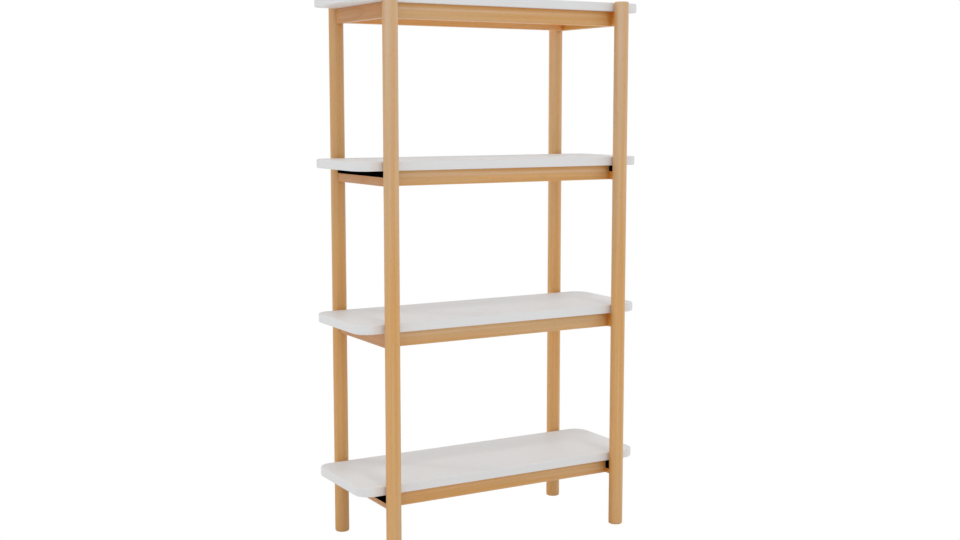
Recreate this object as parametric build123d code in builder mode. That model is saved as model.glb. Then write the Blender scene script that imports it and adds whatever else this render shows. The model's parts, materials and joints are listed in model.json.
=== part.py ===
"""Dolls' house bookcase, 1:12 scale: round posts, white shelves, rail frames and the pins between them.

Millimetres, +Z up. The origin is on the floor, at the centre of the four posts.
X runs along the shelves, and -Y is the front.

Each tier is a frame of four rails under a shelf. The two end rails run between a front post and a rear
post, coped to the posts' round and pinned to them. The long rails butt against the end rails' inner faces
and are pinned there too. On two of the tiers the end rails are lower, and a black spacer bar makes up the
height. Short upright pins fix each shelf to its end rails. Every pin fills its blind holes.
"""
import os

from build123d import *

# Posts
post_diameter = 3.0
post_height = 112.0
post_spacing_x = 53.8
post_spacing_y = 25.05
post_end_round = 0.3

# Shelves
shelf_length = 66.6
shelf_thickness = 1.8
shelf_corner_radius = 3.1
shelf_edge_round = 0.2
post_notch_depth = 0.1

# Tiers: height of each shelf's upper face, and height of the spacer bars on its end rails
shelf_tops = {"top": 111.9, "upper": 79.7, "lower": 48.0, "bottom": 15.6}
spacer_heights = {"upper": 1.25, "bottom": 1.95}

# Rails
rail_height = 3.0
rail_thickness = 1.45
rail_edge_round = 0.1
end_rail_outset = 0.62
long_rail_setback = 2.75

# Pins
pin_diameter = 0.5
post_pin_length = 2.9
post_pin_in_post = 1.45
rail_pin_length = 2.6
rail_pin_in_end_rail = 0.9
shelf_pin_in_shelf = 1.0
shelf_pin_in_plain_rail = 1.5
shelf_pin_in_low_rail = 0.6
shelf_pin_spacing = 10.0

# Derived dimensions
post_radius = post_diameter / 2
post_x = post_spacing_x / 2
post_y = post_spacing_y / 2
post_places = [(x, y) for x in (-post_x, post_x) for y in (-post_y, post_y)]
shelf_depth = post_spacing_y - post_diameter + 2 * post_notch_depth
end_rail_x = post_x + end_rail_outset - rail_thickness / 2
long_rail_y = post_y - long_rail_setback - rail_thickness / 2
long_rail_length = 2 * end_rail_x - rail_thickness
pin_radius = pin_diameter / 2

sides = {"left": -1, "right": 1}
faces = {"front": -1, "rear": 1}


def underside(tier):
    """Height of the lower face of a tier's shelf, which is also the top of its rail frame."""
    return shelf_tops[tier] - shelf_thickness


def frame_foot(tier):
    """Height of the lower face of a tier's rails."""
    return underside(tier) - rail_height


def spacer_height(tier):
    """Height of the spacer bars on a tier's end rails, or 0 where the end rails are full height."""
    return spacer_heights.get(tier, 0)


def pin_level(tier):
    """Height of a tier's level pins: the middle of its end rails."""
    return frame_foot(tier) + (rail_height - spacer_height(tier)) / 2


def post_pin_planes(tier, side, face):
    """Planes at the post end of the pins that join the end rails to the posts, facing the rails."""
    y = face * (post_y - post_radius + post_pin_in_post)
    return [Plane(origin=(side * end_rail_x, y, pin_level(tier)), x_dir=(1, 0, 0), z_dir=(0, -face, 0))]


def rail_pin_planes(tier, side, face):
    """Planes at the outer end of the pins that join the end rails to the long rails, facing inwards."""
    x = side * (end_rail_x - rail_thickness / 2 + rail_pin_in_end_rail)
    return [Plane(origin=(x, face * long_rail_y, pin_level(tier)), x_dir=(0, 1, 0), z_dir=(-side, 0, 0))]


def shelf_pin_planes(tier, side):
    """Planes at the foot of the upright pins that join an end rail to its shelf, facing up."""
    z = underside(tier) - spacer_height(tier) - shelf_pin_in_rail(tier)
    return [Plane(origin=(side * end_rail_x, y, z)) for y in (-shelf_pin_spacing / 2, shelf_pin_spacing / 2)]


def shelf_pin_in_rail(tier):
    """Depth of the upright pins in a tier's end rails."""
    return shelf_pin_in_low_rail if spacer_height(tier) else shelf_pin_in_plain_rail


def shelf_pin_length(tier):
    """Length of a tier's upright pins, through the spacer bar where there is one."""
    return shelf_pin_in_rail(tier) + spacer_height(tier) + shelf_pin_in_shelf


def cut_pin_holes(planes, length):
    """Sink one pin's hole at each plane into the part being built."""
    with BuildSketch(*planes) as mouths:
        Circle(pin_radius)
    extrude(mouths.sketch, amount=length, mode=Mode.SUBTRACT)


def save(part, name):
    """Label a finished piece and write it to its own file."""
    part.label = name
    export_step(part, f"parts/{name}.step")


def make_post(name, side, face):
    """One round post, rounded over at both ends, with a pin hole towards each end rail."""
    with BuildPart() as post:
        with BuildSketch(Plane.XY):
            with Locations((side * post_x, face * post_y)):
                Circle(post_radius)
        extrude(amount=post_height)
        fillet(post.edges().filter_by(GeomType.CIRCLE), post_end_round)
        cut_pin_holes([plane for tier in shelf_tops for plane in post_pin_planes(tier, side, face)],
                      post_pin_length)
    save(post.part, name)


def make_shelf(name, tier):
    """One board with rounded corners and softened edges, notched where it meets the posts."""
    with BuildPart() as shelf:
        with BuildSketch(Plane.XY.offset(underside(tier))):
            RectangleRounded(shelf_length, shelf_depth, shelf_corner_radius)
        extrude(amount=shelf_thickness)
        fillet(shelf.faces().sort_by(Axis.Z)[-1].edges() + shelf.faces().sort_by(Axis.Z)[0].edges(),
               shelf_edge_round)
        with BuildSketch(Plane.XY.offset(underside(tier))):
            with Locations(*post_places):
                Circle(post_radius)
        extrude(amount=shelf_thickness, mode=Mode.SUBTRACT)
        for side in sides.values():
            cut_pin_holes(shelf_pin_planes(tier, side), shelf_pin_length(tier))
    save(shelf.part, name)


def bar_between_posts(side, foot, height):
    """Build a bar with eased edges between the front and rear posts of one side, coped to both."""
    middle = Plane(origin=(side * end_rail_x, 0, foot + height / 2), x_dir=(1, 0, 0), z_dir=(0, -1, 0))
    with BuildSketch(middle) as section:
        RectangleRounded(rail_thickness, height, rail_edge_round)
    extrude(section.sketch, amount=post_y, both=True)
    with BuildSketch(Plane.XY.offset(foot)) as posts:
        with Locations(*post_places):
            Circle(post_radius)
    extrude(posts.sketch, amount=height, mode=Mode.SUBTRACT)


def make_end_rail(name, tier, side):
    """One end rail, with holes for its pins to the posts, the long rails and the shelf."""
    with BuildPart() as rail:
        bar_between_posts(side, frame_foot(tier), rail_height - spacer_height(tier))
        for face in faces.values():
            cut_pin_holes(post_pin_planes(tier, side, face), post_pin_length)
            cut_pin_holes(rail_pin_planes(tier, side, face), rail_pin_length)
        cut_pin_holes(shelf_pin_planes(tier, side), shelf_pin_length(tier))
    save(rail.part, name)


def make_spacer(name, tier, side):
    """One black spacer bar between an end rail and its shelf, flush with the rail on both faces."""
    with BuildPart() as spacer:
        bar_between_posts(side, underside(tier) - spacer_height(tier), spacer_height(tier))
        cut_pin_holes(shelf_pin_planes(tier, side), shelf_pin_length(tier))
    save(spacer.part, name)


def make_long_rail(name, tier, face):
    """One long rail between the two end rails, with a pin hole in each end."""
    middle = Plane(origin=(0, face * long_rail_y, frame_foot(tier) + rail_height / 2),
                   x_dir=(0, 1, 0), z_dir=(1, 0, 0))
    with BuildPart() as rail:
        with BuildSketch(middle):
            RectangleRounded(rail_thickness, rail_height, rail_edge_round)
        extrude(amount=long_rail_length / 2, both=True)
        for side in sides.values():
            cut_pin_holes(rail_pin_planes(tier, side, face), rail_pin_length)
    save(rail.part, name)


def make_pins(name, planes, length):
    """A set of equal pins, one standing on each plane."""
    with BuildPart() as pins:
        with BuildSketch(*planes):
            Circle(pin_radius)
        extrude(amount=length)
    save(pins.part, name)


os.makedirs("parts", exist_ok=True)

for face_name, face in faces.items():
    for side_name, side in sides.items():
        make_post(f"{face_name}_{side_name}_post", side, face)

for tier in shelf_tops:
    make_shelf(f"{tier}_shelf", tier)
    for face_name, face in faces.items():
        make_long_rail(f"{tier}_{face_name}_rail", tier, face)
    for side_name, side in sides.items():
        make_end_rail(f"{tier}_{side_name}_rail", tier, side)
        if spacer_height(tier):
            make_spacer(f"{tier}_{side_name}_spacer", tier, side)

corners = [(side, face) for side in sides.values() for face in faces.values()]
make_pins("post_pins", [plane for tier in shelf_tops for side, face in corners
                        for plane in post_pin_planes(tier, side, face)], post_pin_length)
make_pins("rail_pins", [plane for tier in shelf_tops for side, face in corners
                        for plane in rail_pin_planes(tier, side, face)], rail_pin_length)
shelf_pin_groups = {"plain": ("top", "lower"), "upper": ("upper",), "bottom": ("bottom",)}
for group, tiers in shelf_pin_groups.items():
    make_pins(f"shelf_pins_{group}", [plane for tier in tiers for side in sides.values()
                                      for plane in shelf_pin_planes(tier, side)], shelf_pin_length(tiers[0]))
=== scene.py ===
"""Looks of the dolls' house bookcase: oiled wood, white boards and black spacer bars."""
import json
import math

import bpy
from mathutils import Euler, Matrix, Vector


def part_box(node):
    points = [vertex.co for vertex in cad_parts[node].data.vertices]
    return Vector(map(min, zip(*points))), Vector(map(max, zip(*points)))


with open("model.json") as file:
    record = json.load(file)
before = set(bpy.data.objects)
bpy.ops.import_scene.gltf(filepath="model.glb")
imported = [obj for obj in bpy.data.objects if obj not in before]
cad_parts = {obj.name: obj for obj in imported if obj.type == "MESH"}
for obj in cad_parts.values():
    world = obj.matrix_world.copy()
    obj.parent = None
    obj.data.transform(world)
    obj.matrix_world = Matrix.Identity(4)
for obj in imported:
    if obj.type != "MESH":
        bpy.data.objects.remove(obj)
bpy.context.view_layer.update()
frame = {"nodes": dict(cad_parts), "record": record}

MM = 0.001
MM_PER_M = 1000.0

# Camera. Angles are in degrees. Azimuth 0 is in front of the object, and 90 is on its right.
VIEW_AZIMUTH = -29.97
VIEW_ELEVATION = 6.91
VIEW_DISTANCE = 284.7 * MM
VIEW_HEIGHT = 55.7 * MM
VIEW_TILT = 0.049
LENS_MM = 50.42
NEAREST_SEEN = 0.01
FARTHEST_SEEN = 50

# Lamps: azimuth, elevation, strength and angle across
LAMPS = {"front_lamp": (0, 66, 0.27, 6), "rear_left_lamp": (-135, 33, 0.27, 4),
         "front_right_lamp": (45, 18, 0.05, 8)}

# Room of light, and how its brightness leans towards a side
ROOM_LIGHT = 0.68
ROOM_LEAN = (0.03, 0.03, 0.33)

# Floor. It is seen as white. Light reaches the feet's undersides through what is just under them.
FLOOR_SIDE = 3.0
FLOOR_LEVEL = -0.02 * MM
FLOOR_ALBEDO = 0.92
FOOT_GLOW_REACH = 0.3 * MM


def srgb(red, green, blue):
    """Linear colour of an 8-bit sRGB one."""
    def linear(value):
        value /= 255
        return value / 12.92 if value <= 0.04045 else ((value + 0.055) / 1.055) ** 2.4
    return (linear(red), linear(green), linear(blue), 1.0)


def grey(value):
    return (value, value, value, 1.0)


def scaled(colour, share):
    return tuple(channel * share for channel in colour[:3]) + (1.0,)


# Wood colours
TAN = srgb(219, 173, 121)
PALE = srgb(228, 188, 152)
ORANGE = srgb(226, 166, 98)
DEEP = srgb(213, 149, 72)
# The pale colour below is a painted highlight along eased edges
EDGE_HIGHLIGHT = srgb(236, 204, 172)
PORE = scaled(DEEP, 0.6)

# Noises in the wood: cycles a millimetre along X, Y and the grain, then detail and roughness
WARP_NOISE = ((0.35, 0.35, 0.02), 2.0, 0.5)
DRIFT_NOISE = ((0.10, 0.10, 0.012), 1.0, 0.5)
LIGHT_NOISE = ((1.1, 1.1, 0.014), 1.0, 0.5)
CONTRAST_NOISE = ((0.5, 0.5, 0.02), 1.0, 0.5)
STREAK_NOISE = ((2.4, 2.4, 0.03), 3.0, 0.55)
FIBRE_NOISE = ((13.0, 13.0, 0.30), 3.0, 0.6)
PORE_NOISE = ((9.0, 9.0, 0.9), 1.0, 0.5)

# Spans: a range, and the range that it becomes
DRIFT_SPAN = (0.38, 0.62, 0.0, 1.0)
LIGHT_SPAN = (0.52, 0.72, 0.0, 0.6)
CONTRAST_SPAN = (0.3, 0.6, 0.25, 0.8)
FADE_SPAN_MM = (5.0, 45.0, 0.0, 1.0)
PORE_SPAN = (0.66, 0.76, 0.0, 1.0)
WOOD_ROUGH_SPAN = (0.3, 0.7, 0.40, 0.50)
FOOT_SPAN_MM = (0.5, 3.0, 0.0, 1.0)

# Growth rings: how far the noise moves them, and the share of late wood across one ring
RING_WARP_MM = (0.8, 0.8, 0.0)
RING_STOPS = [(0.33, grey(0.0)), (0.56, grey(0.5)), (0.70, grey(1.0)), (0.82, grey(0.5)),
              (1.0, grey(0.0))]
STREAK_STOPS = [(0.3, (0.95, 0.93, 0.90, 1.0)), (0.7, (1.04, 1.05, 1.07, 1.0))]
FIBRE_STOPS = [(0.3, grey(0.965)), (0.7, grey(1.03))]
PORE_SHARE = 0.35
PORE_ROUGHNESS = 0.08
STREAK_HEIGHT = 0.6
PORE_HEIGHT = 0.8
WOOD_RELIEF = 0.012 * MM
WOOD_RELIEF_STRENGTH = 0.6
WOOD_SHEEN = {"Coat Weight": 0.35, "Coat Roughness": 0.25}

# Painted highlight along eased edges: how far it reaches in, and the span of the eased normal's
# cosine
EDGE_REACH = 0.14 * MM
EDGE_SAMPLES = 6
EDGE_SPAN = (0.86, 0.985, 0.55, 0.0)

# Painted shade: corners between pieces and sheltered inner faces are painted deeper orange, by how
# much of their surroundings is open
CORNER_REACH = 1.6 * MM
CREASE_SHADE = (0.86, 0.71, 0.40, 1.0)
CORNER_SHADE_STOPS = [(0.1, (1.0, 0.60, 0.04, 1.0)), (0.45, CREASE_SHADE), (0.66, CREASE_SHADE),
                (0.8, grey(1.0))]
SHELTER_REACH = 8 * MM
SHELTER_SHADE_STOPS = [(0.2, (1.14, 0.72, 0.30, 1.0)), (0.45, (1.10, 0.93, 0.72, 1.0)),
                 (0.85, grey(1.0))]
OPENNESS_SAMPLES = 8

# White boards. Noises are given as for the wood.
PEEL_NOISE = ((1.3, 1.3, 1.3), 2.0, 0.5)
WHITE_GRAIN_NOISE = ((11.0, 11.0, 11.0), 2.0, 0.5)
CLOUD_NOISE = ((0.07, 0.07, 0.07), 2.0, 0.5)
WHITE_STOPS = [(0.3, (0.79, 0.793, 0.80, 1.0)), (0.7, (0.805, 0.808, 0.813, 1.0))]
WHITE_ROUGH_SPAN = (0.35, 0.65, 0.44, 0.56)
WHITE_GRAIN_SPAN = (0.3, 0.7, -0.03, 0.04)
WHITE_GRAIN_HEIGHT = 0.15
WHITE_RELIEF = 0.004 * MM
WHITE_RELIEF_STRENGTH = 0.5

# Black spacer bars
BLACK_NOISE = ((16.0, 16.0, 16.0), 2.0, 0.6)
BLACK_STOPS = [(0.3, grey(0.0004)), (0.7, grey(0.0016))]
BLACK_ROUGH_SPAN = (0.3, 0.7, 0.8, 0.95)
BLACK_RELIEF = 0.02 * MM
BLACK_RELIEF_STRENGTH = 0.6

# Brass pins
BRASS_NOISE = ((22.0, 22.0, 22.0), 3.0, 0.6)
BRASS_STOPS = [(0.3, srgb(203, 168, 92)), (0.7, srgb(226, 194, 120))]
BRASS_ROUGH_SPAN = (0.3, 0.7, 0.25, 0.4)
BRASS_RELIEF = 0.005 * MM
BRASS_RELIEF_STRENGTH = 0.5


# Node building

class Tree:
    """A node tree with short ways to add nodes. An input is a value or another node's output."""

    def __init__(self, tree):
        self.tree = tree

    def give(self, value, socket):
        """Link the value to the socket if it is an output, or else set it there."""
        if isinstance(value, bpy.types.NodeSocket):
            self.tree.links.new(value, socket)
        else:
            socket.default_value = value

    def add(self, kind, inputs=None, **settings):
        made = self.tree.nodes.new(kind)
        for name, value in settings.items():
            setattr(made, name, value)
        for key, value in (inputs or {}).items():
            self.give(value, made.inputs[key])
        return made

    def math(self, operation, *values):
        return self.add("ShaderNodeMath", dict(enumerate(values)), operation=operation).outputs[0]

    def vector(self, operation, *values):
        made = self.add("ShaderNodeVectorMath", dict(enumerate(values)), operation=operation)
        return made.outputs["Value" if operation in ("LENGTH", "DOT_PRODUCT") else "Vector"]

    def axis(self, vector, name):
        return self.add("ShaderNodeSeparateXYZ", {"Vector": vector}).outputs[name]

    def noise(self, place, scale, detail, roughness, output="Fac"):
        """Noise of the place times the scale, a triple."""
        stretched = self.vector("MULTIPLY", place, scale)
        inputs = {"Vector": stretched, "Scale": 1.0, "Detail": detail, "Roughness": roughness}
        return self.add("ShaderNodeTexNoise", inputs, noise_dimensions="3D").outputs[output]

    def ramp(self, value, stops, interpolation="LINEAR"):
        """A colour ramp. Stops are pairs of a position and a colour."""
        made = self.add("ShaderNodeValToRGB", {"Fac": value})
        made.color_ramp.interpolation = interpolation
        elements = made.color_ramp.elements
        while len(elements) < len(stops):
            elements.new(1.0)
        for element, (position, colour) in zip(elements, stops):
            element.position = position
            element.color = colour
        return made.outputs["Color"]

    def span(self, value, low, high, to_low, to_high):
        """The value's range from low to high carried over to another range, and held there."""
        inputs = {"Value": value, "From Min": low, "From Max": high,
                  "To Min": to_low, "To Max": to_high}
        return self.add("ShaderNodeMapRange", inputs, clamp=True).outputs["Result"]

    def mix(self, factor, first, second, blend="MIX"):
        made = self.add("ShaderNodeMix", data_type="RGBA", blend_type=blend, clamp_factor=True)
        factor_socket, first_socket, second_socket = (made.inputs[place] for place in (0, 6, 7))
        self.give(factor, factor_socket)
        self.give(first, first_socket)
        self.give(second, second_socket)
        return made.outputs[2]

    def bump(self, height, distance, strength):
        inputs = {"Strength": strength, "Distance": distance, "Height": height}
        return self.add("ShaderNodeBump", inputs).outputs["Normal"]

    def openness(self, reach):
        """Share of the surroundings within reach that nothing covers."""
        made = self.add("ShaderNodeAmbientOcclusion", {"Distance": reach}, samples=OPENNESS_SAMPLES)
        return made.outputs["AO"]

    def millimetres(self):
        """Place on the object, in millimetres in the row frame."""
        place = self.add("ShaderNodeTexCoord").outputs["Object"]
        return self.vector("MULTIPLY", place, (MM_PER_M,) * 3)

    def finish(self, inputs):
        """Close a material's tree with one Principled shader."""
        shader = self.add("ShaderNodeBsdfPrincipled", inputs)
        self.add("ShaderNodeOutputMaterial", {"Surface": shader.outputs[0]})


def new_material(name):
    """An empty node material, and its tree."""
    material = bpy.data.materials.new(name)
    material.use_nodes = True
    material.node_tree.nodes.clear()
    return material, Tree(material.node_tree)


# Wood

TIMBER_SOCKETS = {
    "INPUT": {"Place": "Vector", "Pith": "Vector", "Lean": "Float", "Spacing": "Float",
              "Depth": "Float", "Fade": "Float", "Corner Shade": "Float", "Shelter Shade": "Float",
              "Tint": "Color"},
    "OUTPUT": {"Color": "Color", "Roughness": "Float", "Height": "Float"},
}


def late_wood(tree, given):
    """Share of late wood, in growth rings round a pith that leans away from the grain's axis."""
    warp = tree.noise(given["Place"], *WARP_NOISE, "Color")
    centred = tree.vector("SUBTRACT", warp, (0.5, 0.5, 0.5))
    shift = tree.vector("MULTIPLY", centred, RING_WARP_MM)
    split = tree.add("ShaderNodeSeparateXYZ",
                     {"Vector": tree.vector("ADD", given["Place"], shift)}).outputs
    leaning = tree.math("ADD", split["X"], tree.math("MULTIPLY", split["Z"], given["Lean"]))
    across = tree.add("ShaderNodeCombineXYZ", {"X": leaning, "Y": split["Y"]}).outputs[0]
    radius = tree.vector("LENGTH", tree.vector("SUBTRACT", across, given["Pith"]))
    ring = tree.math("FRACT", tree.math("DIVIDE", radius, given["Spacing"]))
    contrast = tree.span(tree.noise(given["Place"], *CONTRAST_NOISE), *CONTRAST_SPAN)
    return tree.math("MULTIPLY", tree.ramp(ring, RING_STOPS, "EASE"), contrast)


def early_colour(tree, given):
    """Early wood drifts from tan to orange, has pale streaks, and is paler towards one end."""
    drift = tree.span(tree.noise(given["Place"], *DRIFT_NOISE), *DRIFT_SPAN)
    colour = tree.mix(drift, TAN, ORANGE)
    light = tree.span(tree.noise(given["Place"], *LIGHT_NOISE), *LIGHT_SPAN)
    colour = tree.mix(light, colour, PALE)
    fade = tree.span(tree.axis(given["Place"], "Z"), *FADE_SPAN_MM)
    return tree.mix(tree.math("MULTIPLY", fade, given["Fade"]), colour, PALE)


def painted_highlight_and_shade(tree, given, colour):
    """Painted highlight along eased edges, and painted shade: corners and sheltered faces painted
    deep orange.
    """
    normal = tree.add("ShaderNodeNewGeometry").outputs["Normal"]
    # Painted highlight: eased edges are painted pale
    eased = tree.add("ShaderNodeBevel", {"Radius": EDGE_REACH}, samples=EDGE_SAMPLES).outputs[0]
    edge_highlight_share = tree.span(tree.vector("DOT_PRODUCT", normal, eased), *EDGE_SPAN)
    colour = tree.mix(edge_highlight_share, colour, EDGE_HIGHLIGHT)
    # Painted shade in corners, faded out near the feet, then painted shade on sheltered faces
    painted_corner_shade = tree.ramp(tree.openness(CORNER_REACH), CORNER_SHADE_STOPS)
    above_foot = tree.span(tree.axis(tree.millimetres(), "Z"), *FOOT_SPAN_MM)
    corner_shade_share = tree.math("MULTIPLY", above_foot, given["Corner Shade"])
    colour = tree.mix(corner_shade_share, colour, painted_corner_shade, "MULTIPLY")
    painted_shelter_shade = tree.ramp(tree.openness(SHELTER_REACH), SHELTER_SHADE_STOPS)
    return tree.mix(given["Shelter Shade"], colour, painted_shelter_shade, "MULTIPLY")


def timber_group():
    """Node group: wood at a place in millimetres whose Z runs along the grain."""
    group = bpy.data.node_groups.new("timber", "ShaderNodeTree")
    for way, sockets in TIMBER_SOCKETS.items():
        for name, kind in sockets.items():
            group.interface.new_socket(name, in_out=way, socket_type="NodeSocket" + kind)
    tree = Tree(group)
    given = tree.add("NodeGroupInput").outputs

    colour = tree.mix(late_wood(tree, given), early_colour(tree, given), DEEP)
    colour = tree.mix(given["Depth"], colour, DEEP)

    # Streaks and fibres along the grain, and short fine pores
    streak = tree.noise(given["Place"], *STREAK_NOISE)
    fibre = tree.noise(given["Place"], *FIBRE_NOISE)
    pore = tree.span(tree.noise(given["Place"], *PORE_NOISE), *PORE_SPAN)
    colour = tree.mix(1.0, colour, tree.ramp(streak, STREAK_STOPS), "MULTIPLY")
    colour = tree.mix(1.0, colour, tree.ramp(fibre, FIBRE_STOPS), "MULTIPLY")
    colour = tree.mix(tree.math("MULTIPLY", pore, PORE_SHARE), colour, PORE)
    # Tint per piece: partly the wood's own tone, partly painted light and shade
    colour = tree.mix(1.0, colour, given["Tint"], "MULTIPLY")

    roughness = tree.math("ADD", tree.span(fibre, *WOOD_ROUGH_SPAN),
                          tree.math("MULTIPLY", pore, PORE_ROUGHNESS))
    lines = tree.math("ADD", fibre, tree.math("MULTIPLY", streak, STREAK_HEIGHT))
    height = tree.math("SUBTRACT", lines, tree.math("MULTIPLY", pore, PORE_HEIGHT))
    tree.add("NodeGroupOutput", {"Color": painted_highlight_and_shade(tree, given, colour),
                                 "Roughness": roughness, "Height": height})
    return group


TIMBER = timber_group()
GRAIN_TURNS = {"X": (0, -math.pi / 2, 0), "Y": (math.pi / 2, 0, 0), "Z": (0, 0, 0)}


def wood(name, grain, origin, looks):
    """Oiled wood with a satin coat. Its grain runs along one axis; the origin is in millimetres."""
    material, tree = new_material(name)
    turn = Euler(GRAIN_TURNS[grain])
    shift = Vector(origin)
    shift.rotate(turn)
    place = tree.add("ShaderNodeMapping", {"Vector": tree.millimetres(), "Rotation": turn,
                                           "Location": -shift}).outputs[0]
    timber = tree.add("ShaderNodeGroup", {"Place": place, **looks}, node_tree=TIMBER).outputs
    tree.finish({"Base Color": timber["Color"], "Roughness": timber["Roughness"],
                 "Normal": tree.bump(timber["Height"], WOOD_RELIEF, WOOD_RELIEF_STRENGTH),
                 **WOOD_SHEEN})
    return material


# The other materials

def board(name):
    """White lacquer over a board: fine orange peel, faint cloudiness and slightly worn gloss."""
    material, tree = new_material(name)
    place = tree.millimetres()
    peel = tree.noise(place, *PEEL_NOISE)
    grain = tree.noise(place, *WHITE_GRAIN_NOISE)
    cloud = tree.noise(place, *CLOUD_NOISE)
    roughness = tree.math("ADD", tree.span(cloud, *WHITE_ROUGH_SPAN),
                          tree.span(grain, *WHITE_GRAIN_SPAN))
    height = tree.math("ADD", peel, tree.math("MULTIPLY", grain, WHITE_GRAIN_HEIGHT))
    tree.finish({"Base Color": tree.ramp(cloud, WHITE_STOPS), "Roughness": roughness,
                 "Normal": tree.bump(height, WHITE_RELIEF, WHITE_RELIEF_STRENGTH)})
    return material


def black_bar(name):
    """Matt black with a fine moulded grain."""
    material, tree = new_material(name)
    grain = tree.noise(tree.millimetres(), *BLACK_NOISE)
    tree.finish({"Base Color": tree.ramp(grain, BLACK_STOPS),
                 "Roughness": tree.span(grain, *BLACK_ROUGH_SPAN),
                 "Normal": tree.bump(grain, BLACK_RELIEF, BLACK_RELIEF_STRENGTH),
                 "Specular IOR Level": 0.0})
    return material


def drawn_brass(name):
    """Brass wire with a fine drawn texture."""
    material, tree = new_material(name)
    lines = tree.noise(tree.millimetres(), *BRASS_NOISE)
    tree.finish({"Base Color": tree.ramp(lines, BRASS_STOPS), "Metallic": 1.0,
                 "Roughness": tree.span(lines, *BRASS_ROUGH_SPAN),
                 "Normal": tree.bump(lines, BRASS_RELIEF, BRASS_RELIEF_STRENGTH)})
    return material


# How each kind of piece is cut from the wood. Pith and spacing are in millimetres.

# Crease and Shelter set how much painted corner shade and painted shelter shade each piece gets
POST = {"Pith": (-9.47, 5.47, 0.0), "Spacing": 2.05, "Lean": 0.0, "Corner Shade": 0.6, "Shelter Shade": 0.0}
LONG_RAIL = {"Pith": (-6.75, 0.0, 0.0), "Spacing": 4.6, "Lean": 0.0, "Depth": 0.0, "Fade": 0.0,
             "Corner Shade": 1.0}
END_RAIL = {"Pith": (0.125, 0.0, 0.0), "Spacing": 1.6, "Lean": 0.17, "Depth": 0.3, "Fade": 0.0}
LONG_RAIL_STEP_MM = 23.0

# Tints are partly the wood's own tone and partly painted light and shade for how each piece is lit:
# the rear right post is painted lighter, the rear rails and right end rails deeper, the left end
# rails darker
FRONT_POST = {**POST, "Depth": 0.0, "Fade": 0.6, "Tint": (0.945, 1.03, 1.09, 1.0)}
REAR_LEFT_POST = {**POST, "Depth": 0.42, "Fade": 0.2, "Tint": (0.945, 1.03, 1.09, 1.0)}
REAR_RIGHT_POST = {**POST, "Depth": 0.1, "Fade": 0.3, "Tint": (1.04, 1.12, 1.15, 1.0)}
FRONT_RAIL = {**LONG_RAIL, "Shelter Shade": 0.0, "Tint": (0.98, 1.05, 1.10, 1.0)}
REAR_RAIL = {**LONG_RAIL, "Shelter Shade": 1.0, "Tint": (1.07, 1.05, 0.95, 1.0)}
LEFT_RAIL = {**END_RAIL, "Corner Shade": 0.3, "Shelter Shade": 0.0, "Tint": (0.83, 0.72, 0.56, 1.0)}
RIGHT_RAIL = {**END_RAIL, "Corner Shade": 1.0, "Shelter Shade": 1.0, "Tint": (0.98, 0.98, 0.66, 1.0)}

# Ends of the wooden nodes' names, with the grain's axis and the looks
CUTS = {"front_left_post": ("Z", FRONT_POST), "front_right_post": ("Z", FRONT_POST),
        "rear_left_post": ("Z", REAR_LEFT_POST), "rear_right_post": ("Z", REAR_RIGHT_POST),
        "front_rail": ("X", FRONT_RAIL), "rear_rail": ("X", REAR_RAIL),
        "left_rail": ("Y", LEFT_RAIL), "right_rail": ("Y", RIGHT_RAIL)}


def wood_for(node, index):
    """The node's own wood. Each long rail is cut from another stretch of the same timber."""
    x, y, z = (sum(ends) / 2 / MM for ends in zip(*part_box(node)))
    grain, looks = next(cut for ending, cut in CUTS.items() if node.endswith(ending))
    if grain == "X":
        x += LONG_RAIL_STEP_MM * index
    return wood(node, grain, (x, y, z), looks)


shared = {"white_board": board("white_lacquer"), "black_spacer": black_bar("matt_black"),
          "brass_pin": drawn_brass("drawn_brass")}
slots = {part["node"]: part["material_slot"] for part in frame["record"]["subparts"]}
for index, name in enumerate(sorted(frame["nodes"])):
    finish = shared.get(slots[name]) or wood_for(name, index)
    for slot in frame["nodes"][name].material_slots:
        slot.link = "OBJECT"
        slot.material = finish


# Stage: a pale floor that is seen as white, in a soft room of light

def floor_material():
    """Seen as white from above, not seen from below, and a pale matt floor to all other light."""
    material, tree = new_material("floor_white")
    path = tree.add("ShaderNodeLightPath").outputs
    lit = tree.add("ShaderNodeBsdfDiffuse", {"Color": grey(FLOOR_ALBEDO)}).outputs[0]
    white = tree.add("ShaderNodeEmission", {"Color": grey(1.0), "Strength": 1.0}).outputs[0]
    from_above = tree.add("ShaderNodeMixShader", {0: path["Is Camera Ray"], 1: lit, 2: white})
    from_below = tree.add("ShaderNodeNewGeometry").outputs["Backfacing"]
    under_foot = tree.math("LESS_THAN", path["Ray Length"], FOOT_GLOW_REACH)
    open_share = tree.math("MAXIMUM", from_below, under_foot)
    clear = tree.add("ShaderNodeBsdfTransparent").outputs[0]
    shown = tree.add("ShaderNodeMixShader", {0: open_share, 1: from_above.outputs[0], 2: clear})
    tree.add("ShaderNodeOutputMaterial", {"Surface": shown.outputs[0]})
    return material


floor_mesh = bpy.data.meshes.new("floor")
corners = [(x * FLOOR_SIDE, y * FLOOR_SIDE, FLOOR_LEVEL)
           for x, y in ((-1, -1), (1, -1), (1, 1), (-1, 1))]
floor_mesh.from_pydata(corners, [], [(0, 1, 2, 3)])
floor = bpy.data.objects.new("floor", floor_mesh)
bpy.context.scene.collection.objects.link(floor)
floor.data.materials.append(floor_material())


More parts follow.
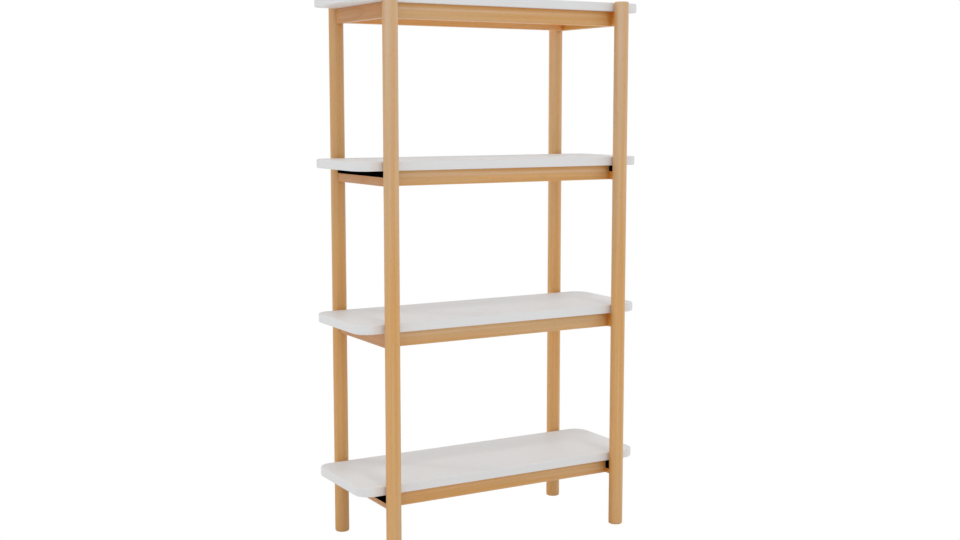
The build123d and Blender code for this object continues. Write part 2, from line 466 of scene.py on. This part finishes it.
def light_room():
    """Even light from all round, a little brighter towards one side. It is seen as white."""
    world = bpy.data.worlds.new("studio")
    bpy.context.scene.world = world
    world.use_nodes = True
    world.node_tree.nodes.clear()
    tree = Tree(world.node_tree)
    toward = tree.add("ShaderNodeTexCoord").outputs["Generated"]
    extra = tree.math("MULTIPLY", tree.vector("DOT_PRODUCT", toward, ROOM_LEAN), ROOM_LIGHT)
    room = tree.math("ADD", extra, ROOM_LIGHT)
    seen = tree.add("ShaderNodeLightPath").outputs["Is Camera Ray"]
    unseen = tree.math("SUBTRACT", 1.0, seen)
    strength = tree.math("ADD", tree.math("MULTIPLY", room, unseen), seen)
    backdrop = tree.add("ShaderNodeBackground", {"Color": grey(1.0), "Strength": strength})
    tree.add("ShaderNodeOutputWorld", {"Surface": backdrop.outputs[0]})


def direction(azimuth, elevation):
    """Unit vector from the object towards an azimuth and elevation in degrees."""
    around, up = math.radians(azimuth), math.radians(elevation)
    return Vector((math.sin(around) * math.cos(up), -math.cos(around) * math.cos(up),
                   math.sin(up)))


def place_looking_from(name, data, toward):
    """Add a lamp or camera that looks against the given direction."""
    holder = bpy.data.objects.new(name, data)
    holder.rotation_mode = "QUATERNION"
    holder.rotation_quaternion = toward.to_track_quat("Z", "Y")
    bpy.context.scene.collection.objects.link(holder)
    return holder


light_room()
for name, (azimuth, elevation, strength, angle) in LAMPS.items():
    lamp = bpy.data.lights.new(name, "SUN")
    lamp.energy = strength
    lamp.angle = math.radians(angle)
    place_looking_from(name, lamp, direction(azimuth, elevation))

camera_data = bpy.data.cameras.new("camera")
camera_data.lens = LENS_MM
camera_data.clip_start = NEAREST_SEEN
camera_data.clip_end = FARTHEST_SEEN
aim = direction(VIEW_AZIMUTH, VIEW_ELEVATION - VIEW_TILT)
camera = place_looking_from("camera", camera_data, aim)
away = direction(VIEW_AZIMUTH, VIEW_ELEVATION) * VIEW_DISTANCE
camera.location = Vector((0, 0, VIEW_HEIGHT)) + away
bpy.context.scene.camera = camera
bpy.context.scene.view_settings.view_transform = "Standard"
